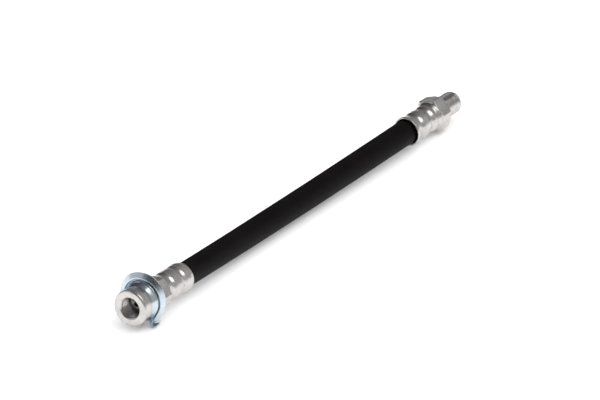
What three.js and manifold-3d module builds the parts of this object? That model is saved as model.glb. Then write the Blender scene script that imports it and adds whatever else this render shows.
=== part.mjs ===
// A short brake hose: a ribbed rubber hose with a female steel fitting on one end, a male steel
// fitting on the other, and the spring clip that locks the female fitting in its bracket.
// Millimetres, +Z up, the floor at Z = 0. The hose runs along +X from the female to the male end,
// and the origin is under the middle of the whole part.
import * as THREE from "three";
import { mergeVertices } from "three/addons/utils/BufferGeometryUtils.js";
import Module from "manifold-3d";

const wasm = await Module();
wasm.setup();

// Hose: bore and outside, then the wall of each layer, from the inside out.
const HOSE_BORE_RADIUS = 1.6;
const HOSE_RADIUS = 5.25;
const LINER_WALL = 0.9;
const INNER_BRAID_WALL = 0.45;
const CUSHION_WALL = 0.3;
const OUTER_BRAID_WALL = 0.45;
const BOND_GAP = 0.05;
const RIB_COUNT = 32;
const RIB_DEPTH = 0.14;

// Centre line of the hose from the female ferrule's mouth to the male ferrule's mouth. Its first
// two points lie on the female fitting's axis and its last two on the male fitting's axis.
const HOSE_ROUTE = [
  [-77.96, 0.98, 8.48],
  [-68.96, 1.29, 7.98],
  [-58.66, 1.5, 7.61],
  [-48.36, 1.66, 7.3],
  [-38.06, 1.75, 7.07],
  [-27.76, 1.78, 6.93],
  [-17.46, 1.76, 6.85],
  [-7.16, 1.7, 6.82],
  [3.14, 1.61, 6.83],
  [13.34, 1.5, 6.87],
  [23.64, 1.37, 6.96],
  [33.94, 1.24, 7.07],
  [44.24, 1.11, 7.2],
  [54.54, 1.0, 7.33],
  [64.84, 0.9, 7.46],
  [73.9, 0.84, 7.57],
  [82.84, 0.84, 7.57],
];

// Crimped ferrules. Depths are measured from the mouth inwards, radii are the outside of the shell.
const SHELL_WALL = 1.0;
const HOSE_FIT = 0.08;
const HOSE_INSIDE = 14;
const HOSE_END_GAP = 0.3;
const LIP_ROUNDING = 0.3;
const FEMALE_FERRULE = {
  lipBore: 5.35,
  lipRadius: 6.3,
  frontCrest: { depth: 2.0, radius: 6.6 },
  frontWaist: { depth: 6.0, radius: 6.05 },
  rearCrest: { depth: 9.6, radius: 6.5 },
  rearWaist: { depth: 13.2, radius: 5.95 },
};
const MALE_FERRULE = {
  lipBore: 5.62,
  lipRadius: 6.25,
  frontCrest: { depth: 0.9, radius: 6.36 },
  frontWaist: { depth: 4.6, radius: 5.5 },
  rearCrest: { depth: 8.0, radius: 6.08 },
  rearWaist: { depth: 11.8, radius: 5.4 },
};

// Inserts: the tubes that hold the hose open under the crimp.
const INSERT_START = 1.8;
const INSERT_RADIUS = 1.85;
const INSERT_WALL = 0.6;
const INSERT_SEATING = 6;
const INSERT_FIT = 0.1;
const INSERT_LEAD = 0.5;
const INSERT_LEAD_DROP = 0.25;

// Both hexagons, across their flats, and how far their corners are turned down at each end.
const HEX_SIDES = 6;
const HEX_ACROSS_FLATS = 13.4;
const HEX_CORNER_DROP = 1.1;
const HEX_CHAMFER_LENGTH = 1.0;
// How far the turned body inside a hexagon lies under its flats, and how deep the two are joined.
const HEX_CORE_DROP = 0.2;
const HEX_CORE_OVERLAP = 0.5;

// Female fitting, from its face towards the hose. The clip sits in the groove behind the collar,
// and the bracket is held between the clip and the flange.
const COLLAR_RADIUS = 7.94;
const COLLAR_LENGTH = 5.2;
const COLLAR_ROUNDING = 0.9;
const GROOVE_RADIUS = 6.25;
const GROOVE_WIDTH = 2.2;
const NECK_RADIUS = 7.0;
const NECK_LENGTH = 2.4;
const BRACKET_LAND_LENGTH = 2.8;
const FLANGE_RADIUS = 8.6;
const FLANGE_LENGTH = 0.8;
const FEMALE_HEX_LENGTH = 7.8;
const FEMALE_HEX_TURN = THREE.MathUtils.degToRad(-7);
const FEMALE_SHOULDER_LENGTH = 4.5;

// Threaded port in the female fitting, with the cone that a flared pipe seals on.
const PORT_MOUTH_RADIUS = 4.95;
const PORT_MOUTH_CHAMFER = 0.6;
const PORT_RADIUS = 4.3;
const PORT_DEPTH = 8.4;
const SEAT_BASE_RADIUS = 3.7;
const SEAT_TIP_RADIUS = 1.75;
const SEAT_HEIGHT = 3.0;
const PASSAGE_RADIUS = 1.4;

// Male fitting, from the ferrule's mouth towards the tip.
const MALE_SHOULDER_LENGTH = 4.4;
const MALE_HEX_LENGTH = 6.7;
const MALE_HEX_TURN = THREE.MathUtils.degToRad(-18);
const GASKET_FACE_RADIUS = 6.1;
const GASKET_FACE_HEIGHT = 0.3;
const STUB_RADIUS = 4.55;
const STUB_LENGTH = 11.2;
const STUB_RELIEF_RADIUS = 4.0;
const STUB_RELIEF_LENGTH = 1.0;
// The relief is also cut into the gasket face, so that the thread doesn't stand over the face.
const FACE_RELIEF_DEPTH = 0.25;
const FACE_RELIEF_CLEARANCE = 0.25;
const TIP_CHAMFER = 0.9;

// Retaining clip: a pressed horseshoe of spring steel, open at the bottom. Its inner edge lies in
// the groove, a dome rises back from there to a ridge, and behind a narrow valley the outer
// flange presses on the bracket. The legs narrow to round tips that curl forward.
const CLIP_THICKNESS = 1.2;
const CLIP_CLEARANCE = 0.25;
const CLIP_OUTER_RADIUS = 11.2;
const CLIP_CROWN_RISE = 1.4;
const CLIP_RIDGE_BACK = 2.8;
const CLIP_VALLEY_DEPTH = 0.85;
const CLIP_FLANGE_BACK = 4.1;
const CLIP_FLANGE_DISH = 0.5;
const CLIP_ARC_END = THREE.MathUtils.degToRad(122);
const CLIP_LEG_CENTRE = 6.2;
const CLIP_LEG_WIDTH = 5.2;
const CLIP_LEG_START = 6.5;
const CLIP_LEG_REACH = 10.235;
const CLIP_CURL = 2.0;

// How finely round things are cut.
const FITTING_SIDES = 32;
const LAYER_SIDES = 12;
const FREE_STEPS = 8;
const CLIP_ARC_STEPS = 9;

// The length of a small step or bevel between two turned diameters.
const EDGE = 0.4;

const UP = new THREE.Vector3(0, 0, 1);

const steel = (name, color, roughness) =>
  new THREE.MeshStandardMaterial({ name, color, roughness, metalness: 0.9 });
const soft = (name, color, roughness) =>
  new THREE.MeshStandardMaterial({ name, color, roughness, metalness: 0 });
const zincPlate = steel("zinc_plate", 0xc9c5bd, 0.32);
const blueZinc = steel("blue_zinc", 0xc3cdd6, 0.28);
const insertSteel = steel("insert_steel", 0xb9b6b0, 0.4);
const coverRubber = soft("cover_rubber", 0x1d1a1c, 0.6);
const linerRubber = soft("liner_rubber", 0x121212, 0.7);
const cushionRubber = soft("cushion_rubber", 0x202020, 0.8);
const braidYarn = soft("braid_yarn", 0xd8d2c2, 0.9);

// Solids

function manifoldOf(geometry) {
  const bare = geometry.clone();
  bare.deleteAttribute("normal");
  bare.deleteAttribute("uv");
  const merged = mergeVertices(bare, 1e-4);
  return new wasm.Manifold(
    new wasm.Mesh({
      numProp: 3,
      vertProperties: merged.attributes.position.array,
      triVerts: new Uint32Array(merged.index.array),
    }),
  );
}

function geometryOf(solid) {
  const mesh = solid.getMesh();
  const geometry = new THREE.BufferGeometry();
  geometry.setAttribute("position", new THREE.BufferAttribute(mesh.vertProperties, 3));
  geometry.setIndex(new THREE.BufferAttribute(mesh.triVerts, 1));
  return geometry;
}

function namedMesh(name, geometry, material) {
  const flat = geometry.index ? geometry.toNonIndexed() : geometry;
  flat.computeVertexNormals();
  const mesh = new THREE.Mesh(flat, material);
  mesh.name = name;
  return mesh;
}

// A turned solid along +X. The outline is a list of [station, radius] and closes on itself.
function turned(outline, sides) {
  const points = outline.map(([station, radius]) => new THREE.Vector2(radius, station));
  points.push(points[0].clone());
  return new THREE.LatheGeometry(points, sides).rotateZ(-Math.PI / 2);
}

// A hexagon with its corners turned down at both ends, as a ring to join to a turned body.
function hexRing(start, length, boreRadius, turn) {
  const halfSide = Math.PI / HEX_SIDES;
  const corner = HEX_ACROSS_FLATS / 2 / Math.cos(halfSide);
  const end = start + length;
  const ring = turned(
    [
      [start, boreRadius],
      [start, corner - HEX_CORNER_DROP],
      [start + HEX_CHAMFER_LENGTH, corner],
      [end - HEX_CHAMFER_LENGTH, corner],
      [end, corner - HEX_CORNER_DROP],
      [end, boreRadius],
    ],
    FITTING_SIDES,
  );
  const prism = new THREE.CylinderGeometry(corner, corner, length * 2, HEX_SIDES)
    .rotateZ(-Math.PI / 2)
    .rotateX(halfSide + turn)
    .translate(start + length / 2, 0, 0);
  return manifoldOf(ring).intersect(manifoldOf(prism));
}

// Ferrules

const shellDepth = HOSE_INSIDE + HOSE_END_GAP;

// The shell's inside, as [depth, radius] from the mouth inwards.
function shellBore({ lipBore, frontWaist, rearCrest, rearWaist }) {
  const turns = [frontWaist, rearCrest, rearWaist];
  return [
    [0, lipBore],
    ...turns.map(({ depth, radius }) => [depth, radius - SHELL_WALL]),
    [shellDepth, rearWaist.radius - SHELL_WALL],
  ];
}

// A rounded rise or fall between two [depth, radius] points, without its end point.
function easedRun([depthA, radiusA], [depthB, radiusB], steps) {
  const run = [];
  for (let i = 0; i < steps; i++) {
    const t = i / steps;
    const ease = (1 - Math.cos(Math.PI * t)) / 2;
    run.push([depthA + (depthB - depthA) * t, radiusA + (radiusB - radiusA) * ease]);
  }
  return run;
}

// The shell's outside, as [depth, radius] from the mouth inwards to the hexagon.
function shellOutside({ lipRadius, frontCrest, frontWaist, rearCrest, rearWaist }, hexDepth) {
  const hexFoot = { depth: hexDepth, radius: hexCore };
  const turns = [frontCrest, frontWaist, rearCrest, rearWaist, hexFoot].map(
    ({ depth, radius }) => [depth, radius],
  );
  return [
    [0, lipRadius - LIP_ROUNDING],
    [LIP_ROUNDING, lipRadius],
    ...turns.slice(1).flatMap((end, i) => easedRun(turns[i], end, 3)),
    turns[turns.length - 1],
  ];
}

// The second value of a profile of pairs where its first value reaches the given place.
function valueAt(profile, place) {
  for (let i = 1; i < profile.length; i++) {
    const [a, valueA] = profile[i - 1];
    const [b, valueB] = profile[i];
    if (place <= b) return valueA + ((valueB - valueA) * (place - a)) / (b - a);
  }
  return profile[profile.length - 1][1];
}

// Route of the hose

const route = new THREE.CatmullRomCurve3(
  HOSE_ROUTE.map(([x, y, z]) => new THREE.Vector3(x, y, z)),
);
const freeLength = route.getLength();

// The cross-section's place at a station along the hose: X along it, Y sideways, Z up. Station 0
// is the female ferrule's mouth. Inside the ferrules the centre line runs straight on.
function frameAt(station) {
  const inRun = THREE.MathUtils.clamp(station, 0, freeLength);
  const along = route.getTangentAt(inRun / freeLength);
  const side = new THREE.Vector3().crossVectors(UP, along).normalize();
  const up = new THREE.Vector3().crossVectors(along, side);
  const centre = route.getPointAt(inRun / freeLength).addScaledVector(along, station - inRun);
  return new THREE.Matrix4().makeBasis(along, side, up).setPosition(centre);
}

// Hose layers

// The depths inside a ferrule at which the hose's walls change.
function hoseDepths(ferrule) {
  const [mouth, ...turns] = shellBore(ferrule).map(([depth]) => Math.min(depth, HOSE_INSIDE));
  return [mouth, INSERT_START, ...turns];
}

function hoseStations() {
  const stations = hoseDepths(FEMALE_FERRULE)
    .map((depth) => -depth)
    .reverse();
  for (let i = 1; i < FREE_STEPS; i++) stations.push((freeLength * i) / FREE_STEPS);
  stations.push(...hoseDepths(MALE_FERRULE).map((depth) => freeLength + depth));
  return stations;
}

// Where a radius of the free hose ends up when the ferrule squeezes it onto the insert.
function squeezedRadius(radius, station) {
  const atFemale = station <= 0;
  const depth = atFemale ? -station : station - freeLength;
  if (depth <= 0) return radius;
  const bore = shellBore(atFemale ? FEMALE_FERRULE : MALE_FERRULE);
  const outer = valueAt(bore, depth) - HOSE_FIT;
  const inner = INSERT_RADIUS + BOND_GAP;
  const share = (radius - HOSE_BORE_RADIUS) / (HOSE_RADIUS - HOSE_BORE_RADIUS);
  return inner + share * (outer - inner);
}

function circlePoints(radius, sides) {
  const points = [];
  for (let i = 0; i < sides; i++) {
    const angle = (2 * Math.PI * i) / sides;
    points.push(new THREE.Vector2(radius * Math.cos(angle), radius * Math.sin(angle)));
  }
  return points;
}

// Ribs along the cover: every second point of its outline drops by the ribs' depth.
function ribbedPoints(radius) {
  const points = circlePoints(radius, RIB_COUNT * 2);
  return points.map((p, i) => (i % 2 ? p.multiplyScalar(1 - RIB_DEPTH / radius) : p));
}

// One layer of the hose: its section is extruded one unit for each station, and each unit is then
// laid at its station along the route.
function hoseLayer(innerRadius, outline) {
  const section = new THREE.Shape(outline);
  section.holes.push(new THREE.Path(circlePoints(innerRadius, LAYER_SIDES).reverse()));
  const stations = hoseStations();
  const steps = stations.length - 1;
  const layer = new THREE.ExtrudeGeometry(section, { steps, depth: steps, bevelEnabled: false });
  const frames = stations.map(frameAt);
  const position = layer.attributes.position;
  const point = new THREE.Vector3();
  for (let i = 0; i < position.count; i++) {
    point.fromBufferAttribute(position, i);
    const step = Math.round(point.z);
    const radius = Math.hypot(point.x, point.y);
    const scale = squeezedRadius(radius, stations[step]) / radius;
    point.set(0, point.x * scale, point.y * scale).applyMatrix4(frames[step]);
    position.setXYZ(i, point.x, point.y, point.z);
  }
  return layer;
}

function hoseMeshes() {
  const walls = [
    ["hose_liner", LINER_WALL, linerRubber],
    ["inner_braid", INNER_BRAID_WALL, braidYarn],
    ["cushion_layer", CUSHION_WALL, cushionRubber],
    ["outer_braid", OUTER_BRAID_WALL, braidYarn],
  ];
  const meshes = [];
  let inner = HOSE_BORE_RADIUS;
  for (const [name, wall, material] of walls) {
    const outline = circlePoints(inner + wall - BOND_GAP, LAYER_SIDES);
    meshes.push(namedMesh(name, hoseLayer(inner, outline), material));
    inner += wall;
  }
  meshes.push(namedMesh("hose_cover", hoseLayer(inner, ribbedPoints(HOSE_RADIUS)), coverRubber));
  return meshes;
}

// Female fitting

const grooveStart = COLLAR_LENGTH;
const neckStart = grooveStart + GROOVE_WIDTH;
const landStart = neckStart + NECK_LENGTH;
const flangeStart = landStart + BRACKET_LAND_LENGTH;
const femaleHexStart = flangeStart + FLANGE_LENGTH;
const femaleHexEnd = femaleHexStart + FEMALE_HEX_LENGTH;
const femaleLength = femaleHexEnd + FEMALE_SHOULDER_LENGTH + FEMALE_FERRULE.rearWaist.depth;
const hexCore = HEX_ACROSS_FLATS / 2 - HEX_CORE_DROP;
const hexRingBore = hexCore - HEX_CORE_OVERLAP;
const insertBore = INSERT_RADIUS + INSERT_FIT;

function femaleBody() {
  const shellBottom = femaleLength - shellDepth;
  const seatTip = PORT_DEPTH - SEAT_HEIGHT;
  const insertStop = shellBottom - INSERT_SEATING;
  const outside = [
    [0, PORT_MOUTH_RADIUS],
    [0, COLLAR_RADIUS - COLLAR_ROUNDING],
    [COLLAR_ROUNDING * 0.3, COLLAR_RADIUS - COLLAR_ROUNDING * 0.3],
    [COLLAR_ROUNDING, COLLAR_RADIUS],
    [grooveStart, COLLAR_RADIUS],
    [grooveStart, GROOVE_RADIUS],
    [neckStart, GROOVE_RADIUS],
    [neckStart, NECK_RADIUS],
    [landStart, NECK_RADIUS],
    [landStart, COLLAR_RADIUS],
    [flangeStart, COLLAR_RADIUS],
    [flangeStart, FLANGE_RADIUS],
    [femaleHexStart, FLANGE_RADIUS],
    [femaleHexStart, hexCore],
    ...shellOutside(FEMALE_FERRULE, femaleLength - femaleHexEnd)
      .reverse()
      .map(([depth, radius]) => [femaleLength - depth, radius]),
  ];
  const inside = [
    ...shellBore(FEMALE_FERRULE).map(([depth, radius]) => [femaleLength - depth, radius]),
    [shellBottom, insertBore],
    [insertStop, insertBore],
    [insertStop, PASSAGE_RADIUS],
    [seatTip, PASSAGE_RADIUS],
    [seatTip, SEAT_TIP_RADIUS],
    [PORT_DEPTH, SEAT_BASE_RADIUS],
    [PORT_DEPTH, PORT_RADIUS],
    [PORT_MOUTH_CHAMFER, PORT_RADIUS],
  ];
  const body = manifoldOf(turned([...outside, ...inside], FITTING_SIDES));
  const ringLength = FEMALE_HEX_LENGTH + EDGE;
  return body.add(hexRing(femaleHexStart - EDGE, ringLength, hexRingBore, FEMALE_HEX_TURN));
}

// Male fitting

const maleHexStart = MALE_FERRULE.rearWaist.depth + MALE_SHOULDER_LENGTH;
const maleHexEnd = maleHexStart + MALE_HEX_LENGTH;
const gasketFace = maleHexEnd + GASKET_FACE_HEIGHT;
const maleLength = gasketFace + STUB_LENGTH;

function maleBody() {
  const insertStop = shellDepth + INSERT_SEATING;
  const reliefEnd = gasketFace + STUB_RELIEF_LENGTH;
  const faceBore = STUB_RADIUS + FACE_RELIEF_CLEARANCE;
  const outside = [
    ...shellOutside(MALE_FERRULE, maleHexStart),
    [maleHexEnd, hexCore],
    [maleHexEnd, GASKET_FACE_RADIUS],
    [gasketFace, GASKET_FACE_RADIUS],
    [gasketFace, faceBore],
    [gasketFace - FACE_RELIEF_DEPTH, faceBore],
    [gasketFace - FACE_RELIEF_DEPTH, STUB_RELIEF_RADIUS],
    [reliefEnd, STUB_RELIEF_RADIUS],
    [reliefEnd + STUB_RADIUS - STUB_RELIEF_RADIUS, STUB_RADIUS],
    [maleLength - TIP_CHAMFER, STUB_RADIUS],
    [maleLength, STUB_RADIUS - TIP_CHAMFER],
  ];
  const inside = [
    [maleLength, PASSAGE_RADIUS],
    [insertStop, PASSAGE_RADIUS],
    [insertStop, insertBore],
    [shellDepth, insertBore],
    ...shellBore(MALE_FERRULE).reverse(),
  ];
  const body = manifoldOf(turned([...outside, ...inside], FITTING_SIDES));
  return body.add(hexRing(maleHexStart, MALE_HEX_LENGTH, hexRingBore, MALE_HEX_TURN));
}

// Insert: a plain tube, from just inside the ferrule's mouth to its seat in the body. It is made
// with the ferrule's mouth at X = 0 and the body towards +X.
function insertTube() {
  const seatEnd = shellDepth + INSERT_SEATING - HOSE_END_GAP;
  return turned(
    [
      [INSERT_START, INSERT_RADIUS - INSERT_LEAD_DROP],
      [INSERT_START + INSERT_LEAD, INSERT_RADIUS],
      [seatEnd, INSERT_RADIUS],
      [seatEnd, INSERT_RADIUS - INSERT_WALL],
      [INSERT_START, INSERT_RADIUS - INSERT_WALL],
    ],
    LAYER_SIDES,
  );
}

// Retaining clip

// How far under the axis the round tips of the legs begin.
const tipStart = CLIP_LEG_REACH - CLIP_LEG_WIDTH / 2;

// One half of the clip's plan, from the crown to the tip of the leg, as pairs of points on its
// inner and outer edges: sideways and up from the fitting's axis.
function clipHalfPlan() {
  const pairs = [];
  for (let i = 0; i <= CLIP_ARC_STEPS; i++) {
    const angle = (CLIP_ARC_END * i) / CLIP_ARC_STEPS;
    const sideways = Math.sin(angle);
    const up = Math.cos(angle);
    pairs.push([
      [clipInnerRadius * sideways, clipInnerRadius * up],
      [CLIP_OUTER_RADIUS * sideways, CLIP_CROWN_RISE + CLIP_OUTER_RADIUS * up],
    ]);
  }
  const half = CLIP_LEG_WIDTH / 2;
  for (const height of [-CLIP_LEG_START, -tipStart]) {
    pairs.push([
      [CLIP_LEG_CENTRE - half, height],
      [CLIP_LEG_CENTRE + half, height],
    ]);
  }
  for (const angle of [30, 55, 75].map(THREE.MathUtils.degToRad)) {
    const width = half * Math.cos(angle);
    const height = -tipStart - half * Math.sin(angle);
    pairs.push([
      [CLIP_LEG_CENTRE - width, height],
      [CLIP_LEG_CENTRE + width, height],
    ]);
  }
  return pairs;
}

// The share of the clip's width at which the dome ends in its ridge, clear of the collar.
const clipInnerRadius = GROOVE_RADIUS + CLIP_CLEARANCE;
const ridgeShare =
  (COLLAR_RADIUS + CLIP_CLEARANCE - clipInnerRadius) / (CLIP_OUTER_RADIUS - clipInnerRadius);

// The clip's section, as [share of its width, distance back from its inner edge].
const clipSection = [
  [0, 0],
  [ridgeShare * 0.45, 0.15],
  [ridgeShare, CLIP_RIDGE_BACK],
  [ridgeShare + 0.08, CLIP_RIDGE_BACK + CLIP_VALLEY_DEPTH],
  [ridgeShare + 0.18, CLIP_FLANGE_BACK - CLIP_FLANGE_DISH],
  [0.94, CLIP_FLANGE_BACK],
];

// How far back a point of the clip lies. Down the legs the dome fades into a flat strip, which
// curls forward at its tip.
function clipBack(share, height) {
  const domed = valueAt(clipSection, share);
  const down = Math.max(0, -height - tipStart) / (CLIP_LEG_REACH - tipStart);
  const flatness = Math.min(1, down * 2);
  const flat = CLIP_FLANGE_BACK - CLIP_CURL * down * down;
  return domed + (flat - domed) * flatness;
}

function retainingClip() {
  const half = clipHalfPlan();
  const mirrored = half
    .slice(1)
    .reverse()
    .map((pair) => pair.map(([sideways, height]) => [-sideways, height]));
  const pairs = [...mirrored, ...half];
  const front = clipSection.map(([share, back]) => new THREE.Vector2(share, back));
  const rim = new THREE.Vector2(1, CLIP_FLANGE_BACK + CLIP_THICKNESS / 2);
  const back = front.map((p) => new THREE.Vector2(p.x, p.y + CLIP_THICKNESS)).reverse();
  const section = new THREE.Shape([...front, rim, ...back]);
  const steps = pairs.length - 1;
  const clip = new THREE.ExtrudeGeometry(section, { steps, depth: steps, bevelEnabled: false });
  const innerEdge = grooveStart + (GROOVE_WIDTH - CLIP_THICKNESS) / 2;
  const position = clip.attributes.position;
  for (let i = 0; i < position.count; i++) {
    const share = position.getX(i);
    const intoWall = position.getY(i) - valueAt(clipSection, share);
    const [inner, outer] = pairs[Math.round(position.getZ(i))];
    const sideways = inner[0] + (outer[0] - inner[0]) * share;
    const height = inner[1] + (outer[1] - inner[1]) * share;
    position.setXYZ(i, innerEdge + clipBack(share, height) + intoWall, sideways, height);
  }
  return clip;
}

// The whole part

const femaleEnd = new THREE.Group();
femaleEnd.applyMatrix4(frameAt(0));
const fromFace = new THREE.Group();
fromFace.position.x = -femaleLength;
fromFace.add(namedMesh("female_fitting", geometryOf(femaleBody()), zincPlate));
fromFace.add(namedMesh("retaining_clip", retainingClip(), blueZinc));
const femaleInsert = namedMesh("female_insert", insertTube(), insertSteel);
femaleInsert.rotation.z = Math.PI;
femaleEnd.add(fromFace, femaleInsert);

const maleEnd = new THREE.Group();
maleEnd.applyMatrix4(frameAt(freeLength));
maleEnd.add(namedMesh("male_fitting", geometryOf(maleBody()), zincPlate));
maleEnd.add(namedMesh("male_insert", insertTube(), insertSteel));

const brakeHose = new THREE.Group();
brakeHose.add(femaleEnd, maleEnd, ...hoseMeshes());

export default brakeHose;
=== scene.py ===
# %% [markdown]
# # A brake hose
#
# The object is a short rubber hose that carries brake fluid to a wheel. A steel fitting is
# crimped on each end: one has a threaded port for a rigid pipe and a clip that locks it in a
# bracket, and the other has a threaded stub that screws into the brake.
#
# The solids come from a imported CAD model, the frame. This file gives them their looks, and
# everything is in metres in the frame's own coordinates.

# %% Load the frame
import math

import bpy
from mathutils import Matrix, Vector


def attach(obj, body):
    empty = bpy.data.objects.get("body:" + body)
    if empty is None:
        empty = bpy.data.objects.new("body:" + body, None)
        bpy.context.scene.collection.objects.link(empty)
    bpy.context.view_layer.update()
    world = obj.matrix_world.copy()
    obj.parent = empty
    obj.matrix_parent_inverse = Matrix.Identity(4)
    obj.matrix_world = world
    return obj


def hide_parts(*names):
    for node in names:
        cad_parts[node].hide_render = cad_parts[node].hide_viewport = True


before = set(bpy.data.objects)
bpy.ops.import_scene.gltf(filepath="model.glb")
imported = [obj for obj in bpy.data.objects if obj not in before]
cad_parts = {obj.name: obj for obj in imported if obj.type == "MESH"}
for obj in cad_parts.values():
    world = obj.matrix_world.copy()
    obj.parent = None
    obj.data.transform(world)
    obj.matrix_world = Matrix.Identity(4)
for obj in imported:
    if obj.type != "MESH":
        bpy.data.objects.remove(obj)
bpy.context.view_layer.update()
scene = bpy.context.scene
MM = 0.001
UP = Vector((0, 0, 1))
print("nodes:", sorted(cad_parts))

# %% [markdown]
# ## The camera
#
# The photograph shows no narrowing of the hose from the near end to the far one, so it was taken
# from far away through a long lens. The view is fixed by four facts: the two angles of the line
# of sight, the scale in pixels for a millimetre, and the pixel at which the frame's origin lies.
# A long lens aimed at the point behind the picture's middle then gives the same view.

# %% Camera
PHOTO_WIDTH = 600
PHOTO_HEIGHT = 400
ORIGIN_PIXEL = (292.4, 224.3)
PIXELS_PER_METRE = 2422.0
SIGHT_TURN = math.radians(35.2)
SIGHT_DROP = math.radians(27.5)
LENS_MM = 5000.0
SENSOR_MM = 36.0

sight = Vector(
    (
        math.cos(SIGHT_TURN) * math.cos(SIGHT_DROP),
        math.sin(SIGHT_TURN) * math.cos(SIGHT_DROP),
        -math.sin(SIGHT_DROP),
    )
)
picture_right = sight.cross(UP).normalized()
picture_up = picture_right.cross(sight)


def make_camera():
    data = bpy.data.cameras.new("camera")
    data.lens = LENS_MM
    data.sensor_width = SENSOR_MM
    data.clip_end = 100
    distance = PHOTO_WIDTH * LENS_MM / SENSOR_MM / PIXELS_PER_METRE
    right = (PHOTO_WIDTH / 2 - ORIGIN_PIXEL[0]) / PIXELS_PER_METRE
    up = (ORIGIN_PIXEL[1] - PHOTO_HEIGHT / 2) / PIXELS_PER_METRE
    target = picture_right * right + picture_up * up
    camera = bpy.data.objects.new("camera", data)
    turn = Matrix((picture_right, picture_up, -sight)).transposed().to_4x4()
    camera.matrix_world = Matrix.Translation(target - sight * distance) @ turn
    scene.collection.objects.link(camera)
    scene.camera = camera
    print("camera", round(distance, 3), "m away")


make_camera()

# %% [markdown]
# ## Node trees in Python
#
# Both Geometry Nodes and shaders are graphs of sockets. Written node by node they are hard to
# read, so one small class stands for a socket and lets Python's own operators add the Math nodes:
# `1 - mask` makes a Subtract node. A second class holds the tree and makes every other node.


# %% Sockets and trees
class Sock:
    """A node's output. Arithmetic on it adds Math nodes."""

    def __init__(self, net, socket):
        self.net = net
        self.socket = socket

    def out(self, name):
        """Another output of the same node."""
        return Sock(self.net, self.socket.node.outputs[name])

    def __add__(self, other):
        return self.net.math("ADD", self, other)

    def __sub__(self, other):
        return self.net.math("SUBTRACT", self, other)

    def __mul__(self, other):
        return self.net.math("MULTIPLY", self, other)

    def __truediv__(self, other):
        return self.net.math("DIVIDE", self, other)

    def __rsub__(self, other):
        return self.net.math("SUBTRACT", other, self)

    def __rtruediv__(self, other):
        return self.net.math("DIVIDE", other, self)

    def __gt__(self, other):
        return self.net.math("GREATER_THAN", self, other)

    def __lt__(self, other):
        return self.net.math("LESS_THAN", self, other)

    __radd__ = __add__
    __rmul__ = __mul__


class Net:
    """A node tree in the making."""

    def __init__(self, tree):
        self.tree = tree

    def add(self, kind, settings=None, sockets=None, out=0):
        """Makes a node, sets it up, feeds its sockets, and gives one of its outputs."""
        node = self.tree.nodes.new(kind)
        for name, value in (settings or {}).items():
            if name == "stops":
                self.set_stops(node.color_ramp, value)
            else:
                setattr(node, name, value)
        for key, value in (sockets or {}).items():
            self.feed(node.inputs[key], value)
        return Sock(self, node.outputs[out])

    def set_stops(self, ramp, stops):
        while len(ramp.elements) < len(stops):
            ramp.elements.new(1)
        for element, (place, color) in zip(ramp.elements, stops):
            element.position = place
            element.color = color if len(color) == 4 else (*color, 1)

    def feed(self, socket, value):
        if isinstance(value, Sock):
            self.tree.links.new(value.socket, socket)
        else:
            socket.default_value = value

    def math(self, operation, *values):
        return self.add("ShaderNodeMath", {"operation": operation}, dict(enumerate(values)))

    def vector(self, operation, *values):
        """Vector Math. A number given to SCALE goes to its own socket."""
        settings = {"operation": operation}
        if operation == "SCALE":
            return self.add("ShaderNodeVectorMath", settings, {0: values[0], "Scale": values[1]})
        return self.add("ShaderNodeVectorMath", settings, dict(enumerate(values)))

    def ramp(self, value, *stops):
        return self.add("ShaderNodeValToRGB", {"stops": stops}, {0: value})

    def remap(self, value, low, high, to_low=0.0, to_high=1.0):
        """Map Range from low..high to to_low..to_high, clamped."""
        sockets = {0: value, 1: low, 2: high, 3: to_low, 4: to_high}
        return self.add("ShaderNodeMapRange", {"clamp": True}, sockets)


def geometry_tree(name, inputs):
    """A Geometry Nodes tree with named inputs: returns it as a Net, and its input sockets."""
    tree = bpy.data.node_groups.new(name, "GeometryNodeTree")
    tree.interface.new_socket("Geometry", in_out="INPUT", socket_type="NodeSocketGeometry")
    tree.interface.new_socket("Geometry", in_out="OUTPUT", socket_type="NodeSocketGeometry")
    for label, value in inputs.items():
        kind = "NodeSocketInt" if isinstance(value, int) else "NodeSocketFloat"
        tree.interface.new_socket(label, in_out="INPUT", socket_type=kind).default_value = value
    tree.interface.new_socket("Material", in_out="INPUT", socket_type="NodeSocketMaterial")
    net = Net(tree)
    outputs = net.add("NodeGroupInput").socket.node.outputs
    return net, {socket.name: Sock(net, socket) for socket in outputs if socket.name}


def finish_tree(net, geometry, material):
    """Smooth shading, real geometry and the material, then the tree's output."""
    smooth = net.add("GeometryNodeSetShadeSmooth", None, {"Geometry": geometry})
    real = net.add("GeometryNodeRealizeInstances", None, {"Geometry": smooth})
    finished = net.add("GeometryNodeSetMaterial", None, {"Geometry": real, "Material": material})
    output = net.tree.nodes.new("NodeGroupOutput")
    net.feed(output.inputs[0], finished)


def plain_mesh(carrier, name):
    """Turns an object's evaluated geometry into a plain mesh object and removes the object."""
    depsgraph = bpy.context.evaluated_depsgraph_get()
    evaluated = carrier.evaluated_get(depsgraph)
    mesh = bpy.data.meshes.new_from_object(
        evaluated, preserve_all_data_layers=True, depsgraph=depsgraph
    )
    bpy.data.objects.remove(carrier)
    mesh.name = name
    piece = bpy.data.objects.new(name, mesh)
    scene.collection.objects.link(piece)
    return piece


def run_tree(name, mesh, net, values):
    """Runs a tree on a mesh with the given input values and keeps the result."""
    carrier = bpy.data.objects.new(name + "_start", mesh)
    scene.collection.objects.link(carrier)
    modifier = carrier.modifiers.new("tree", "NODES")
    modifier.node_group = net.tree
    for item in net.tree.interface.items_tree:
        if item.in_out == "INPUT" and item.name in values:
            modifier[item.identifier] = values[item.name]
    return plain_mesh(carrier, name)


# %% [markdown]
# ## Black rubber
#
# The cover is a satin black rubber, a trace warmer than neutral. Nothing in it is painted: what
# shows is the light on its ribs and a fine grain from the mould, which a bump gives, and patches
# a little duller than the rest, where the hose was handled.


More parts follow.
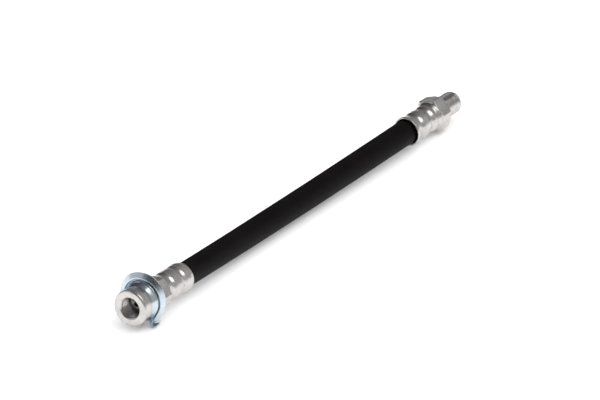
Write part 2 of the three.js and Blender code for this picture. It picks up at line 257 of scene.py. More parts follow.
# %% Rubber
def new_finish(name):
    """An empty material, with its net, its shader and its Object coordinates."""
    material = bpy.data.materials.new(name)
    material.use_nodes = True
    net = Net(material.node_tree)
    shader = material.node_tree.nodes["Principled BSDF"]
    place = net.add("ShaderNodeTexCoord", None, None, "Object")
    return material, net, shader, place


def noise(net, place, scale, detail=2.0, roughness=0.5):
    sockets = {"Vector": place, "Scale": scale, "Detail": detail, "Roughness": roughness}
    return net.add("ShaderNodeTexNoise", None, sockets, "Fac")


def bump(net, shader, height, strength, distance):
    sockets = {"Height": height, "Strength": strength, "Distance": distance}
    net.feed(shader.inputs["Normal"], net.add("ShaderNodeBump", None, sockets))


RUBBER_SHINE = 0.07
PATCH_SCALE = 70
PATCH_SPREAD = 0.16
GRAIN_SCALE = 2600
GRAIN_STRENGTH = 0.25
GRAIN_DEPTH = 0.06 * MM


def rubber_finish(name, dark, light, roughness):
    """Rubber of a mean roughness, from a dark to a light shade of its colour."""
    material, net, shader, place = new_finish(name)
    patches = noise(net, place, PATCH_SCALE, 3)
    net.feed(shader.inputs["Base Color"], net.ramp(patches, (0.3, dark), (0.7, light)))
    net.feed(shader.inputs["Roughness"], patches * PATCH_SPREAD + (roughness - PATCH_SPREAD / 2))
    shader.inputs["Specular IOR Level"].default_value = RUBBER_SHINE
    bump(net, shader, noise(net, place, GRAIN_SCALE, 2), GRAIN_STRENGTH, GRAIN_DEPTH)
    return material


cover_rubber = rubber_finish("cover_rubber", (0.0016, 0.0011, 0.0013), (0.0034, 0.0025, 0.0028), 0.34)
liner_rubber = rubber_finish("liner_rubber", (0.006, 0.006, 0.006), (0.012, 0.012, 0.012), 0.6)
cushion_rubber = rubber_finish("cushion_rubber", (0.012, 0.012, 0.012), (0.025, 0.024, 0.023), 0.7)
print("rubbers:", cover_rubber.name, liner_rubber.name, cushion_rubber.name)

# %% [markdown]
# ## The hose
#
# The hose is a cord of fixed length. Its route repeats the points of the CAD model, from the
# mouth of the female ferrule to the mouth of the male one, and at each end it runs on straight
# into the ferrule, which squeezes it. A curve through the points could come from Blender's own
# curve tools, but a few lines of Catmull-Rom also give the length of the hose.

# %% Route of the hose
ROUTE_MM = [
    (-77.96, 0.98, 8.48),
    (-68.96, 1.29, 7.98),
    (-58.66, 1.5, 7.61),
    (-48.36, 1.66, 7.3),
    (-38.06, 1.75, 7.07),
    (-27.76, 1.78, 6.93),
    (-17.46, 1.76, 6.85),
    (-7.16, 1.7, 6.82),
    (3.14, 1.61, 6.83),
    (13.34, 1.5, 6.87),
    (23.64, 1.37, 6.96),
    (33.94, 1.24, 7.07),
    (44.24, 1.11, 7.2),
    (54.54, 1.0, 7.33),
    (64.84, 0.9, 7.46),
    (73.9, 0.84, 7.57),
    (82.84, 0.84, 7.57),
]
HOSE_INSIDE = 14 * MM
ROUTE_STEPS = 8

mouths = [Vector(point) * MM for point in ROUTE_MM]
female_axis = (mouths[1] - mouths[0]).normalized()
male_axis = (mouths[-1] - mouths[-2]).normalized()
route = [mouths[0] - female_axis * HOSE_INSIDE, *mouths, mouths[-1] + male_axis * HOSE_INSIDE]


def catmull_rom(points, steps):
    """A smooth line through all the points, with steps pieces between neighbours."""
    padded = [2 * points[0] - points[1], *points, 2 * points[-1] - points[-2]]
    line = []
    for a, b, c, d in zip(padded, padded[1:], padded[2:], padded[3:]):
        for i in range(steps):
            t = i / steps
            pull = (c - a) * t + (2 * a - 5 * b + 4 * c - d) * t**2 + (3 * b - a - 3 * c + d) * t**3
            line.append(b + pull / 2)
    return [*line, points[-1]]


def length_of(line):
    return sum((b - a).length for a, b in zip(line, line[1:]))


hose_line = catmull_rom(route, ROUTE_STEPS)
hose_length = length_of(hose_line)
free_length = length_of(catmull_rom(mouths, ROUTE_STEPS))
print("hose", round(hose_length, 4), "m,", round(free_length, 4), "m of it outside the ferrules")

# %% [markdown]
# ## The ribbed cover
#
# The cover has fine ribs along its whole length. They repeat round the hose, so Geometry Nodes
# make them: a plain tube one unit long is laid along the route, and its radius rises and falls
# with the angle. Four points for each rib are enough, because smooth shading does the rest. A
# Solidify modifier then gives the tube its wall.

# %% Ribbed hose
HOSE_RADIUS = 5.25 * MM
COVER_WALL = 1.45 * MM
SQUEEZE = 0.9 * MM
SQUEEZE_RUN = 4.6 * MM
RIB_COUNT = 56
RIB_DEPTH = 0.17 * MM
POINTS_PER_RIB = 4
HOSE_STATIONS = 110


def ribbed_hose_tree():
    net, sizes = geometry_tree(
        "ribbed hose",
        {
            "Rib Count": RIB_COUNT,
            "Stations": HOSE_STATIONS,
            "Radius": HOSE_RADIUS,
            "Rib Depth": RIB_DEPTH,
            "Hidden Length": HOSE_INSIDE,
            "Squeeze": SQUEEZE,
            "Squeeze Run": SQUEEZE_RUN,
        },
    )
    line = net.add("GeometryNodeMeshToCurve", None, {"Mesh": sizes["Geometry"]})
    upright = net.add("GeometryNodeSetCurveNormal", {"mode": "Z_UP"}, {"Curve": line})
    length = net.add("GeometryNodeCurveLength", None, {"Curve": upright})
    tube = net.add(
        "GeometryNodeMeshCylinder",
        {"fill_type": "NONE"},
        {
            "Vertices": sizes["Rib Count"] * POINTS_PER_RIB,
            "Side Segments": sizes["Stations"],
            "Radius": 1.0,
            "Depth": 1.0,
        },
    )
    across = net.add("ShaderNodeSeparateXYZ", None, {0: net.add("GeometryNodeInputPosition")})
    angle = net.math("ARCTAN2", across.out("Y"), across)
    share = across.out("Z") + 0.5
    along = share * length
    from_end = net.math("MINIMUM", along, length - along)
    squeeze_start = sizes["Hidden Length"] - sizes["Squeeze Run"]
    squeezed = net.remap(from_end, squeeze_start, sizes["Hidden Length"], 1, 0)
    between_ribs = (1 - net.math("COSINE", angle * sizes["Rib Count"])) * 0.5
    radius = sizes["Radius"] - sizes["Rib Depth"] * between_ribs - squeezed * sizes["Squeeze"]
    centre = net.add(
        "GeometryNodeSampleCurve",
        {"mode": "FACTOR", "use_all_curves": True},
        {"Curves": upright, "Factor": share},
        "Position",
    )
    up = centre.out("Normal")
    side = net.vector("CROSS_PRODUCT", centre.out("Tangent"), up)
    out_up = net.vector("SCALE", up, radius * net.math("COSINE", angle))
    out_side = net.vector("SCALE", side, radius * net.math("SINE", angle))
    target = net.vector("ADD", net.vector("ADD", centre, out_up), out_side)
    laid = net.add("GeometryNodeSetPosition", None, {"Geometry": tube, "Position": target})
    finish_tree(net, laid, sizes["Material"])
    return net


def line_mesh(name, points):
    mesh = bpy.data.meshes.new(name)
    mesh.from_pydata(points, [(i, i + 1) for i in range(len(points) - 1)], [])
    return mesh


def hose_cover():
    route_mesh = line_mesh("route", hose_line)
    tube = run_tree("tube", route_mesh, ribbed_hose_tree(), {"Material": cover_rubber})
    wall = tube.modifiers.new("wall", "SOLIDIFY")
    wall.thickness = COVER_WALL
    wall.offset = -1
    cover = plain_mesh(tube, "hose_cover_ribbed")
    print("hose cover:", len(cover.data.polygons), "faces")
    return cover


cover = hose_cover()
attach(cover, "root")
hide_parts("hose_cover")

# %% [markdown]
# ## Zinc plate
#
# The fittings are turned steel with a thin, slightly warm zinc plate, and the clip is plated
# with the bluer kind. On both, the tool's fine turning lines and a faint cloudiness break up the
# reflections. The lines follow the distance along the part's own axis, which each turned piece
# carries as an attribute named station.


# %% Metal finishes
CLOUD_SCALE = 260
CLOUD_SPREAD = 0.14
SPECK_SCALE = 3800
SPECK_SPREAD = 0.06
LINE_SCALE = 5200
LINE_STRENGTH = 0.35
SPECK_SHARE = 0.35


def zinc_finish(name, color, cloud, roughness, line_height):
    """Plated steel of a mean roughness, its colour clouded by a duller one."""
    material, net, shader, place = new_finish(name)
    clouds = noise(net, place, CLOUD_SCALE, 4, 0.6)
    specks = noise(net, place, SPECK_SCALE, 2)
    station = net.add("ShaderNodeAttribute", {"attribute_name": "station"}, None, "Fac")
    line_sockets = {"W": station, "Scale": LINE_SCALE, "Detail": 2.0}
    lines = net.add("ShaderNodeTexNoise", {"noise_dimensions": "1D"}, line_sockets, "Fac")
    net.feed(shader.inputs["Base Color"], net.ramp(clouds, (0.35, cloud), (0.65, color)))
    smoothest = roughness - (CLOUD_SPREAD + SPECK_SPREAD) / 2
    dullness = clouds * CLOUD_SPREAD + specks * SPECK_SPREAD + smoothest
    net.feed(shader.inputs["Roughness"], dullness)
    shader.inputs["Metallic"].default_value = 1.0
    bump(net, shader, lines + specks * SPECK_SHARE, LINE_STRENGTH, line_height)
    return material


zinc_plate = zinc_finish("zinc_plate", (0.6, 0.578, 0.565), (0.5, 0.48, 0.468), 0.28, 0.012 * MM)
blue_zinc = zinc_finish("blue_zinc", (0.58, 0.65, 0.7), (0.5, 0.56, 0.62), 0.22, 0.006 * MM)
insert_steel = zinc_finish("insert_steel", (0.5, 0.49, 0.48), (0.42, 0.41, 0.4), 0.38, 0.01 * MM)
print("metals:", zinc_plate.name, blue_zinc.name, insert_steel.name)

# %% [markdown]
# ## Turned fittings
#
# Each fitting starts as a round bar on a lathe. Its outline, outside and bore, is a list of
# corners with a rounding for each, and spinning the outline gives one closed mesh of quads. A
# corner's rounding is a curve that reaches less than halfway along the sides that meet there.


# %% Outline and lathe
ROUNDING_STEPS = 4
ROUNDING_REACH = 0.45


def rounded(corners):
    """The outline's points in metres. A corner is (station, radius, rounding) in millimetres."""
    count = len(corners)
    points = []
    for i, (station, radius, rounding) in enumerate(corners):
        corner = Vector((station, radius)) * MM
        before = Vector(corners[i - 1][:2]) * MM - corner
        after = Vector(corners[(i + 1) % count][:2]) * MM - corner
        reach = min(rounding * MM, ROUNDING_REACH * before.length, ROUNDING_REACH * after.length)
        if reach == 0:
            points.append(corner)
            continue
        start = corner + before.normalized() * reach
        end = corner + after.normalized() * reach
        for step in range(ROUNDING_STEPS + 1):
            t = step / ROUNDING_STEPS
            points.append(start.lerp(corner, t).lerp(corner.lerp(end, t), t))
    return points


def divided(outline, step_at):
    """The closed outline with its long stretches divided, as finely as step_at says."""
    points = []
    for a, b in zip(outline, outline[1:] + outline[:1]):
        pieces = max(1, math.ceil((b - a).length / step_at((a + b) / 2)))
        points += [a.lerp(b, i / pieces) for i in range(pieces)]
    return points


def turned_mesh(name, outline, sides, first_angle):
    """Spins a closed outline round the X axis."""
    points = []
    for station, radius in outline:
        for i in range(sides):
            angle = first_angle + 2 * math.pi * i / sides
            points.append((station, radius * math.cos(angle), radius * math.sin(angle)))
    faces = []
    for ring in range(len(outline)):
        here = ring * sides
        there = (ring + 1) % len(outline) * sides
        for i in range(sides):
            j = (i + 1) % sides
            faces.append((here + i, here + j, there + j, there + i))
    mesh = bpy.data.meshes.new(name)
    mesh.from_pydata(points, [], faces)
    return mesh


# %% [markdown]
# ## Hexagon and thread
#
# What a lathe can't turn is cut afterwards by one Geometry Nodes tree: the hexagon, which presses
# the bar's radius down to flats, and the thread, a ridge that climbs one pitch for each turn.
# Both follow from a point's angle and its station along the bar, so no booleans are needed and
# the mesh stays clean.

# %% Cutting tree
THREAD_BAND = 0.1 * MM
THREAD_ROOT_SHARE = 0.1
THREAD_CREST_SHARE = 0.85


def cut_bar_tree():
    net, sizes = geometry_tree(
        "cut bar",
        {
            "Hexagon Start": 0.0,
            "Hexagon End": 0.0,
            "Across Flats": 13 * MM,
            "Flat Angle": 0.0,
            "Edge Rounding": 0.1 * MM,
            "Thread Start": 0.0,
            "Thread End": 0.0,
            "Thread Root": 4 * MM,
            "Thread Height": 0.4 * MM,
            "Pitch": 1 * MM,
        },
    )
    place = net.add("ShaderNodeSeparateXYZ", None, {0: net.add("GeometryNodeInputPosition")})
    station = place
    y = place.out("Y")
    z = place.out("Z")
    angle = net.math("ARCTAN2", z, y)
    radius = net.math("SQRT", y * y + z * z)

    sixth = math.pi / 3
    from_flat = angle - sizes["Flat Angle"]
    off_flat = from_flat - net.math("ROUND", from_flat / sixth) * sixth
    flat_radius = sizes["Across Flats"] * 0.5 / net.math("COSINE", off_flat)
    cut = net.math("SMOOTH_MIN", radius, flat_radius, sizes["Edge Rounding"])
    in_hexagon = (station > sizes["Hexagon Start"]) * (station < sizes["Hexagon End"])
    milled = radius + in_hexagon * (cut - radius)

    turns = (station - sizes["Thread Start"]) / sizes["Pitch"] - angle / (2 * math.pi)
    wave = net.math("PINGPONG", turns, 0.5) * 2
    ridge = net.remap(wave, THREAD_ROOT_SHARE, THREAD_CREST_SHARE)
    start_fade = net.remap(station, sizes["Thread Start"], sizes["Thread Start"] + sizes["Pitch"])
    end_fade = net.remap(station, sizes["Thread End"] - sizes["Pitch"], sizes["Thread End"], 1, 0)
    off_root = net.math("ABSOLUTE", radius - sizes["Thread Root"])
    after_start = (off_root < THREAD_BAND) * (station > sizes["Thread Start"])
    on_thread = after_start * (station < sizes["Thread End"])
    threaded = milled + on_thread * ridge * start_fade * end_fade * sizes["Thread Height"]

    scale = threaded / radius
    target = net.add("ShaderNodeCombineXYZ", None, {0: station, 1: y * scale, 2: z * scale})
    kept = net.add(
        "GeometryNodeStoreNamedAttribute",
        {"data_type": "FLOAT", "domain": "POINT"},
        {"Geometry": sizes["Geometry"], "Name": "station", "Value": station},
    )
    moved = net.add("GeometryNodeSetPosition", None, {"Geometry": kept, "Position": target})
    finish_tree(net, moved, sizes["Material"])
    return net


cut_bar = cut_bar_tree()


def place_at(point, axis):
    """The matrix that puts a bar's station 0 at a point and its X axis along an axis."""
    side = UP.cross(axis).normalized()
    columns = Matrix((axis, side, axis.cross(side))).transposed().to_4x4()
    return Matrix.Translation(point) @ columns


# %% [markdown]
# ## The ferrules
#
# A ferrule is a steel shell pressed onto the hose in two bands. Between and beside the bands it
# keeps its width, so the outside is a row of soft bulges and waists. It could be sculpted, but
# the same two functions give both ends from a few turning points: how deep behind the mouth each
# lies, and its radius.


# %% Ferrule outline
SHELL_DEPTH = 14.3
EASE_STEPS = 8
HEX_ACROSS_FLATS = 13.4
HEX_CORE = HEX_ACROSS_FLATS / 2 - 0.2


def bulge_run(turns):
    """Soft rises and falls through (depth, radius) turning points."""
    run = []
    for (depth_a, radius_a), (depth_b, radius_b) in zip(turns, turns[1:]):
        for i in range(EASE_STEPS):
            t = i / EASE_STEPS
            ease = (1 - math.cos(math.pi * t)) / 2
            run.append((depth_a + (depth_b - depth_a) * t, radius_a + (radius_b - radius_a) * ease, 0))
    return [*run, (*turns[-1], 0)]


def ferrule_outside(lip_radius, bulges, hexagon_depth):
    """From the mouth inwards to the hexagon: a rounded lip, then the bulges."""
    return [(0, lip_radius, 0.3), *bulge_run([*bulges, (hexagon_depth, HEX_CORE)])]


def ferrule_bore(lip_bore, waists):
    """From the mouth inwards, narrowing under the two waists."""
    inner = [(depth, radius, 0.4) for depth, radius in waists]
    return [(0, lip_bore, 0.25), *inner, (SHELL_DEPTH, waists[-1][1], 0.2)]


# %% [markdown]
# ## The bar and its hexagon
#
# Where the spanner goes, the bar keeps the width over the hexagon's corners until the tree cuts
# its flats, and a chamfer turns it down at both ends. The outline gets finer steps on a thread
# than elsewhere, because only there does the surface change within a millimetre. One function
# then makes either fitting from its corners.

# %% Making a fitting
HEX_CORNER = HEX_ACROSS_FLATS / math.sqrt(3)
HEX_CORNER_DROP = 1.1
HEX_CHAMFER = 1.0
HEX_EDGE_ROUNDING = 0.25
FITTING_SIDES = 180
BAR_STEP = 0.45
PITCH = 1.06
THREAD_HEIGHT = 0.42
THREAD_STEP = PITCH / 12


def hexagon_corners(start, end, start_chamfer, start_drop, start_rounding):
    """A band of bar at the width over the hexagon's corners, turned down at both ends."""
    return [
        (start, HEX_CORNER - start_drop, start_rounding),
        (start + start_chamfer, HEX_CORNER, 0.3),
        (end - HEX_CHAMFER, HEX_CORNER, 0.3),
        (end, HEX_CORNER - HEX_CORNER_DROP, 0.15),
    ]


def make_fitting(name, corners, place, hexagon, thread):
    """Spins the outline, cuts the hexagon and the thread, and puts the piece in its place."""
    hex_start, hex_end, flat_angle = hexagon
    thread_start, thread_end, thread_root = thread

    def step_at(point):
        station, radius = point / MM
        in_band = abs(radius - thread_root) < THREAD_BAND / MM
        on_thread = in_band and thread_start < station < thread_end
        return (THREAD_STEP if on_thread else BAR_STEP) * MM

    outline = divided(rounded(corners), step_at)
    bar = turned_mesh(name + "_bar", outline, FITTING_SIDES, flat_angle + math.pi / 6)
    values = {
        "Hexagon Start": hex_start * MM,
        "Hexagon End": hex_end * MM,
        "Across Flats": HEX_ACROSS_FLATS * MM,
        "Flat Angle": flat_angle,
        "Edge Rounding": HEX_EDGE_ROUNDING * MM,
        "Thread Start": thread_start * MM,
        "Thread End": thread_end * MM,
        "Thread Root": thread_root * MM,
        "Thread Height": THREAD_HEIGHT * MM,
        "Pitch": PITCH * MM,
        "Material": zinc_plate,
    }
    fitting = run_tree(name, bar, cut_bar, values)
    fitting.data.transform(place)
    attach(fitting, "root")
    print(name + ":", len(outline), "rings,", len(fitting.data.polygons), "faces")
    return fitting


# %% [markdown]
# ## The female fitting
#
# From its face towards the hose: a round collar with the threaded port, the groove that the clip
# sits in, the land that the bracket slips over, a thin flange that it stops against, the hexagon,
# and the ferrule. At the port's bottom a small cone stands up, which the flared pipe seals on.
# Every station is a distance from that face, in millimetres.

# %% Female sizes
COLLAR_RADIUS = 7.94
COLLAR_LENGTH = 5.2
GROOVE_RADIUS = 6.25
GROOVE_END = 7.4
NECK_RADIUS = 7.0
LAND_START = 9.8
FLANGE_START = 12.6
FLANGE_END = 13.4
FLANGE_RADIUS = 8.6
FEMALE_HEX_END = 21.2
FEMALE_LENGTH = 38.9
PORT_RADIUS = 4.3
PORT_DEPTH = 8.4
PORT_MOUTH_RADIUS = 4.95
PORT_MOUTH_DEPTH = 0.6
SEAT_HEIGHT = 3.0
SEAT_TIP_RADIUS = 1.75
SEAT_BASE_RADIUS = 3.7
INSERT_BORE = 1.95
INSERT_SEATING = 6
PASSAGE = 1.4
FEMALE_THREAD_START = 0.5
FEMALE_THREAD_RUNOUT = 1.6
FEMALE_FLAT_ANGLE = math.radians(83)
FEMALE_LIP_RADIUS = 6.35
FEMALE_LIP_BORE = 5.35
FEMALE_BULGES = [(1.8, 6.6), (4.4, 6.42), (6.5, 5.95), (8.3, 6.45), (12.3, 6.4), (14.5, 5.9)]
FEMALE_BORE = [(6.0, 5.0), (13.2, 4.9)]
HEX_OVERHANG = 0.2


# %% Female fitting
def from_mouth(corners):
    """Corners given by their depth behind the ferrule's mouth, as stations from the face."""
    return [(FEMALE_LENGTH - depth, radius, rounding) for depth, radius, rounding in corners]


def female_corners():
    collar = [
        (0, PORT_MOUTH_RADIUS, 0.15),
        (0, COLLAR_RADIUS, 0.9),
        (COLLAR_LENGTH, COLLAR_RADIUS, 0.3),
        (COLLAR_LENGTH, GROOVE_RADIUS, 0.2),
        (GROOVE_END, GROOVE_RADIUS, 0.2),
        (GROOVE_END, NECK_RADIUS, 0.1),
        (LAND_START, NECK_RADIUS, 0.1),
        (LAND_START, COLLAR_RADIUS, 0.2),
        (FLANGE_START, COLLAR_RADIUS, 0.1),
        (FLANGE_START, FLANGE_RADIUS, 0.15),
        (FLANGE_END, FLANGE_RADIUS, 0.15),
    ]
    hexagon = hexagon_corners(
        FLANGE_END, FEMALE_HEX_END, start_chamfer=0.6, start_drop=0.7, start_rounding=0.05
    )
    outside = ferrule_outside(FEMALE_LIP_RADIUS, FEMALE_BULGES, FEMALE_LENGTH - FEMALE_HEX_END)
    ferrule = from_mouth(reversed(outside))
    bore = from_mouth(ferrule_bore(FEMALE_LIP_BORE, FEMALE_BORE))
    bottom = FEMALE_LENGTH - SHELL_DEPTH
    inside = [
        (bottom, INSERT_BORE, 0.1),
        (bottom - INSERT_SEATING, INSERT_BORE, 0.05),
        (bottom - INSERT_SEATING, PASSAGE, 0.05),
        (PORT_DEPTH - SEAT_HEIGHT, PASSAGE, 0.12),
        (PORT_DEPTH - SEAT_HEIGHT, SEAT_TIP_RADIUS, 0.1),
        (PORT_DEPTH, SEAT_BASE_RADIUS, 0.2),
        (PORT_DEPTH, PORT_RADIUS, 0.1),
        (PORT_MOUTH_DEPTH, PORT_RADIUS, 0.1),
    ]
    return [*collar, *hexagon, *ferrule, *bore, *inside]


face = mouths[0] - female_axis * FEMALE_LENGTH * MM
female_fitting = make_fitting(
    "female_fitting_turned",
    female_corners(),
    place_at(face, female_axis),
    (FLANGE_END, FEMALE_HEX_END + HEX_OVERHANG, FEMALE_FLAT_ANGLE),
    (FEMALE_THREAD_START, PORT_DEPTH - FEMALE_THREAD_RUNOUT, PORT_RADIUS),
)
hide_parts("female_fitting")

# %% [markdown]
# ## The male fitting
#
# The far end has the same kind of ferrule, but the hose lies loose in its mouth, so a dark ring
# shows round the hose. Beyond the hexagon come a flat for the sealing washer, an undercut and the
# threaded stub, whose tip is turned down to a cone. Every station is a distance from the mouth.

# %% Male sizes
MALE_HEX_START = 16.6
MALE_HEX_END = 22.9
GASKET_FACE = 23.2
GASKET_RADIUS = 6.1
RELIEF_RADIUS = 4.8
RELIEF_DEPTH = 0.25
UNDERCUT_RADIUS = 4.0
UNDERCUT_END = GASKET_FACE + 1.0
MALE_THREAD_START = GASKET_FACE + 1.4
MALE_LENGTH = 34.4
STUB_ROOT = 4.34
TIP_CHAMFER = 0.9
TIP_DROP = 0.63
MALE_FLAT_ANGLE = math.radians(72)
MALE_LIP_RADIUS = 6.3
MALE_LIP_BORE = 5.62
MALE_BULGES = [
    (0.5, 6.36),
    (4.3, 5.5),
    (6.4, 6.0),
    (8.6, 6.05),
    (11.4, 5.36),
    (13.4, 5.95),
    (14.3, 5.95),
    (14.9, 5.82),
]
MALE_BORE = [(4.6, 4.5), (11.8, 4.4)]


# %% Male fitting
def male_corners():
    outside = ferrule_outside(MALE_LIP_RADIUS, MALE_BULGES, MALE_HEX_START)
    hexagon = hexagon_corners(
        MALE_HEX_START,
        MALE_HEX_END,
        start_chamfer=0.7,
        start_drop=HEX_CORNER_DROP,
        start_rounding=0.15,
    )
    stub = [
        (MALE_HEX_END, GASKET_RADIUS, 0.05),
        (GASKET_FACE, GASKET_RADIUS, 0.1),
        (GASKET_FACE, RELIEF_RADIUS, 0.05),
        (GASKET_FACE - RELIEF_DEPTH, RELIEF_RADIUS, 0.05),
        (GASKET_FACE - RELIEF_DEPTH, UNDERCUT_RADIUS, 0.1),
        (UNDERCUT_END, UNDERCUT_RADIUS, 0.1),
        (MALE_THREAD_START, STUB_ROOT, 0.1),
        (MALE_LENGTH - TIP_CHAMFER, STUB_ROOT, 0.15),
        (MALE_LENGTH, STUB_ROOT - TIP_DROP, 0.15),
        (MALE_LENGTH, PASSAGE, 0.15),
    ]
    inside = [
        (SHELL_DEPTH + INSERT_SEATING, PASSAGE, 0.05),
        (SHELL_DEPTH + INSERT_SEATING, INSERT_BORE, 0.05),
        (SHELL_DEPTH, INSERT_BORE, 0.1),
    ]
    bore = reversed(ferrule_bore(MALE_LIP_BORE, MALE_BORE))
    return [*outside, *hexagon, *stub, *inside, *bore]


male_fitting = make_fitting(
    "male_fitting_turned",
    male_corners(),
    place_at(mouths[-1], male_axis),
    (MALE_HEX_START - HEX_OVERHANG, MALE_HEX_END + HEX_OVERHANG, MALE_FLAT_ANGLE),
    (MALE_THREAD_START, MALE_LENGTH - TIP_CHAMFER, STUB_ROOT),
)
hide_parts("male_fitting")

# %% [markdown]
# ## The retaining clip
#
# The clip is pressed from spring steel sheet. Seen from the front it is a horseshoe, open at the
# bottom. Across its width the sheet starts flat in the groove, rises back as a dome, dips into a
# narrow valley and ends in the flat flange that presses on the bracket. The legs turn flat and
# curl forward at their round tips.
#
# It could be bent from a flat sheet by modifiers, but the section changes along the horseshoe.
# So it is built as a grid: rows follow the horseshoe, from pairs of inner and outer points, and
# columns follow the pressed section. A Solidify modifier gives the sheet its thickness and a
# Bevel takes the sharpness off its cut edges.

# %% Clip sizes
SHEET = 0.95
CLIP_EDGE = 0.18
CLIP_INNER_RADIUS = 6.5
CLIP_OUTER_RADIUS = 11.2
CLIP_CROWN_RISE = 1.4
CLIP_INNER_STATION = 5.7
CLIP_ARC_END = math.radians(122)
CLIP_ARC_STEPS = 9
CLIP_LEG_CENTRE = 6.2
CLIP_LEG_WIDTH = 5.2
CLIP_LEG_START = 6.5
CLIP_LEG_REACH = 9.45
CLIP_CURL = 2.0
CLIP_FLANGE_BACK = 4.1
CLIP_SECTION = [
    (0.0, 0.0),
    (0.08, 0.03),
    (0.16, 0.4),
    (0.25, 1.5),
    (0.33, 2.5),
    (0.385, 2.95),
    (0.42, 3.6),
    (0.455, 4.15),
    (0.49, 3.9),
    (0.53, 3.35),
    (0.6, 3.3),
    (0.8, 3.7),
    (1.0, CLIP_FLANGE_BACK),
]
TIP_START = CLIP_LEG_REACH - CLIP_LEG_WIDTH / 2
TIP_DEGREES = (20, 40, 58, 74, 84)
CLIP_ROW_STEPS = 4
CLIP_SECTION_STEPS = 3


# %% Clip
def clip_rows():
    """Half of the horseshoe, crown to tip: an inner and an outer point for each row."""
    inner = []
    outer = []
    for i in range(CLIP_ARC_STEPS + 1):
        turn = CLIP_ARC_END * i / CLIP_ARC_STEPS
        out = Vector((math.sin(turn), math.cos(turn)))
        inner.append(out * CLIP_INNER_RADIUS)
        outer.append(out * CLIP_OUTER_RADIUS + Vector((0, CLIP_CROWN_RISE)))
    half = CLIP_LEG_WIDTH / 2
    widths = [(half, -CLIP_LEG_START), (half, -TIP_START)]
    for degrees in TIP_DEGREES:
        turn = math.radians(degrees)
        widths.append((half * math.cos(turn), -TIP_START - half * math.sin(turn)))
    for width, height in widths:
        inner.append(Vector((CLIP_LEG_CENTRE - width, height)))
        outer.append(Vector((CLIP_LEG_CENTRE + width, height)))
    return list(zip(catmull_rom(inner, CLIP_ROW_STEPS), catmull_rom(outer, CLIP_ROW_STEPS)))


def clip_point(inner, outer, share, back):
    """A point of the sheet's front, in the fitting's own frame, in metres."""
    across, height = inner.lerp(outer, share)
    down = min(1, max(0, -height - TIP_START) / (CLIP_LEG_REACH - TIP_START))
    flatness = min(1, down * 2)
    flat = CLIP_FLANGE_BACK - CLIP_CURL * down**2
    station = CLIP_INNER_STATION + back + (flat - back) * flatness
    return Vector((station, across, height)) * MM


def retaining_clip():
    half = clip_rows()
    mirrored = [tuple(Vector((-x, z)) for x, z in row) for row in reversed(half[1:])]
    rows = [*mirrored, *half]
    section = catmull_rom([Vector(pair) for pair in CLIP_SECTION], CLIP_SECTION_STEPS)
    points = [clip_point(*row, share, back) for row in rows for share, back in section]
    width = len(section)
    faces = []
    for row in range(len(rows) - 1):
        for column in range(width - 1):
            corner = row * width + column
            faces.append((corner, corner + 1, corner + width + 1, corner + width))
    mesh = bpy.data.meshes.new("clip_sheet")
    mesh.from_pydata(points, [], faces)
    mesh.materials.append(blue_zinc)
    mesh.shade_smooth()
    sheet = bpy.data.objects.new("clip_sheet", mesh)
    scene.collection.objects.link(sheet)
    wall = sheet.modifiers.new("wall", "SOLIDIFY")
    wall.thickness = SHEET * MM
    wall.offset = -1
    edges = sheet.modifiers.new("edges", "BEVEL")
    edges.width = CLIP_EDGE * MM
    edges.segments = 3
    edges.limit_method = "ANGLE"
    edges.angle_limit = math.radians(50)
    clip = plain_mesh(sheet, "retaining_clip_pressed")
    clip.data.transform(place_at(face, female_axis))
    print("clip:", len(clip.data.polygons), "faces")
    return clip


clip = retaining_clip()
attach(clip, "root")
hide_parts("retaining_clip")

# %% [markdown]
# ## What the hose holds inside
#
# Under the cover lie two braids of yarn with a rubber cushion between them, and the liner that
# holds the fluid. A steel insert keeps the hose open under each ferrule. Their solids from the
# frame are the right shape already, so they only get their finishes: for the yarn, two sets of
# slanted waves that cross.


# %% Inner layers
BRAID_ANGLE = math.radians(54)
BRAID_SCALE = 420.0
YARN_SHADE = (0.42, 0.38, 0.3)
YARN_COLOR = (0.76, 0.71, 0.6)
YARN_HEIGHT = 0.1 * MM


def yarn_finish(name):
    material, net, shader, place = new_finish(name)
    sets = []
    for turn in (BRAID_ANGLE, -BRAID_ANGLE):
        turned = net.add("ShaderNodeMapping", None, {"Vector": place, "Rotation": (0, 0, turn)})
        waves = {"Vector": turned, "Scale": BRAID_SCALE}
        sets.append(net.add("ShaderNodeTexWave", None, waves, "Fac"))
    weave = net.math("MAXIMUM", *sets)
    net.feed(shader.inputs["Base Color"], net.ramp(weave, (0.2, YARN_SHADE), (0.8, YARN_COLOR)))
    shader.inputs["Roughness"].default_value = 0.85
    bump(net, shader, weave, 0.5, YARN_HEIGHT)
    return material


braid_yarn = yarn_finish("braid_yarn")
inner_finishes = {
    "hose_liner": liner_rubber,
    "inner_braid": braid_yarn,
    "cushion_layer": cushion_rubber,
    "outer_braid": braid_yarn,
    "female_insert": insert_steel,
    "male_insert": insert_steel,
}
for node, material in inner_finishes.items():
    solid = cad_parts[node]
    solid.data.materials.clear()
    solid.data.materials.append(material)
print("inner pieces:", ", ".join(inner_finishes))

# %% [markdown]

# %% [markdown]
# ## Floor
#
# The photograph is a product shot on a white table. The floor glows a little and is lit from
# above, so that in the picture it is pure white and only the shadows near the hose fall below it.

# %% Floor
FLOOR_SIZE = 12.0
FLOOR_GLOW = 0.1


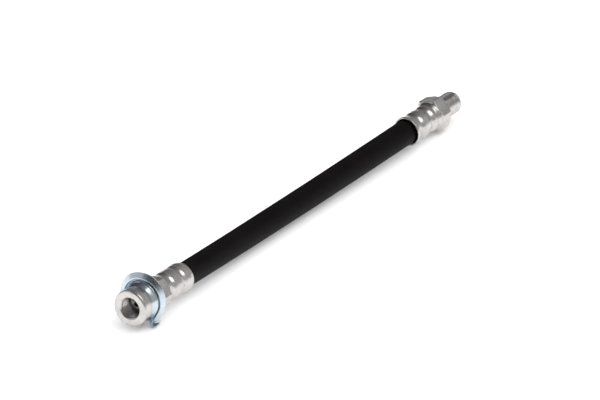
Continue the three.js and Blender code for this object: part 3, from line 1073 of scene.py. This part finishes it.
def make_floor():
    half = FLOOR_SIZE / 2
    mesh = bpy.data.meshes.new("floor")
    corners = [(-half, -half, 0), (half, -half, 0), (half, half, 0), (-half, half, 0)]
    mesh.from_pydata(corners, [], [(0, 1, 2, 3)])
    floor = bpy.data.objects.new("floor", mesh)
    scene.collection.objects.link(floor)
    material, _, shader, _ = new_finish("floor")
    shader.inputs["Base Color"].default_value = (0.93, 0.93, 0.93, 1)
    shader.inputs["Roughness"].default_value = 0.9
    shader.inputs["Specular IOR Level"].default_value = 0.0
    shader.inputs["Emission Color"].default_value = (1, 1, 1, 1)
    shader.inputs["Emission Strength"].default_value = FLOOR_GLOW
    mesh.materials.append(material)


make_floor()
print("floor", FLOOR_SIZE, "m wide")

# %% [markdown]
# ## Light
#
# Bright metal shows what stands round it, so the light was placed by what the fittings mirror in
# the photograph. A soft box high on the right gives the small white spots in the waists of the
# ferrules and on the clip's dome. A large, faintly blue one low on the left lights the clip's
# flange. The room's walls brighten from the left of the picture to its right.
#
# A last light as wide as a ceiling lies overhead, so the shadows are soft and fade close to the
# hose. It is for the floor alone: the metal doesn't mirror it.


# %% Lights
ROOM_DIM = 0.06
ROOM_BRIGHT = 0.52
DIM_UP_TO = -0.5
BRIGHT_FROM = 0.9


def heading(azimuth, height):
    """The unit vector at an azimuth from +X and a height above the horizon, in degrees."""
    turn = math.radians(azimuth)
    rise = math.radians(height)
    return Vector((math.cos(turn) * math.cos(rise), math.sin(turn) * math.cos(rise), math.sin(rise)))


def soft_box(name, azimuth, height, size, radiance, distance=1.0, color=(1, 1, 1)):
    """A soft box that faces the origin. Radiance 1 is the white of the picture."""
    data = bpy.data.lights.new(name, "AREA")
    data.shape = "RECTANGLE"
    data.size, data.size_y = size
    data.energy = radiance * math.pi * size[0] * size[1]
    data.color = color
    light = bpy.data.objects.new(name, data)
    away = heading(azimuth, height)
    light.location = away * distance
    light.rotation_euler = away.to_track_quat("Z", "Y").to_euler()
    scene.collection.objects.link(light)
    return light


def make_room():
    world = bpy.data.worlds.new("room")
    scene.world = world
    world.use_nodes = True
    net = Net(world.node_tree)
    background = world.node_tree.nodes["Background"]
    direction = net.add("ShaderNodeTexCoord", None, None, "Generated")
    rightward = net.vector("DOT_PRODUCT", direction, tuple(picture_right)).out("Value")
    wall = net.remap(rightward, DIM_UP_TO, BRIGHT_FROM, ROOM_DIM, ROOM_BRIGHT)
    background.inputs["Color"].default_value = (1, 1, 1, 1)
    net.feed(background.inputs["Strength"], wall)


soft_box("right", -68, 60, (0.38, 0.62), 3.4)
soft_box("left", 127, 27, (1.3, 1.15), 0.66, 1.2, (0.9, 0.91, 1))
overhead = soft_box("overhead", 0, 90, (9, 9), 1.08, 2.0)
overhead.visible_glossy = False
overhead.visible_camera = False
make_room()
scene.view_settings.view_transform = "Standard"
print("lights set")
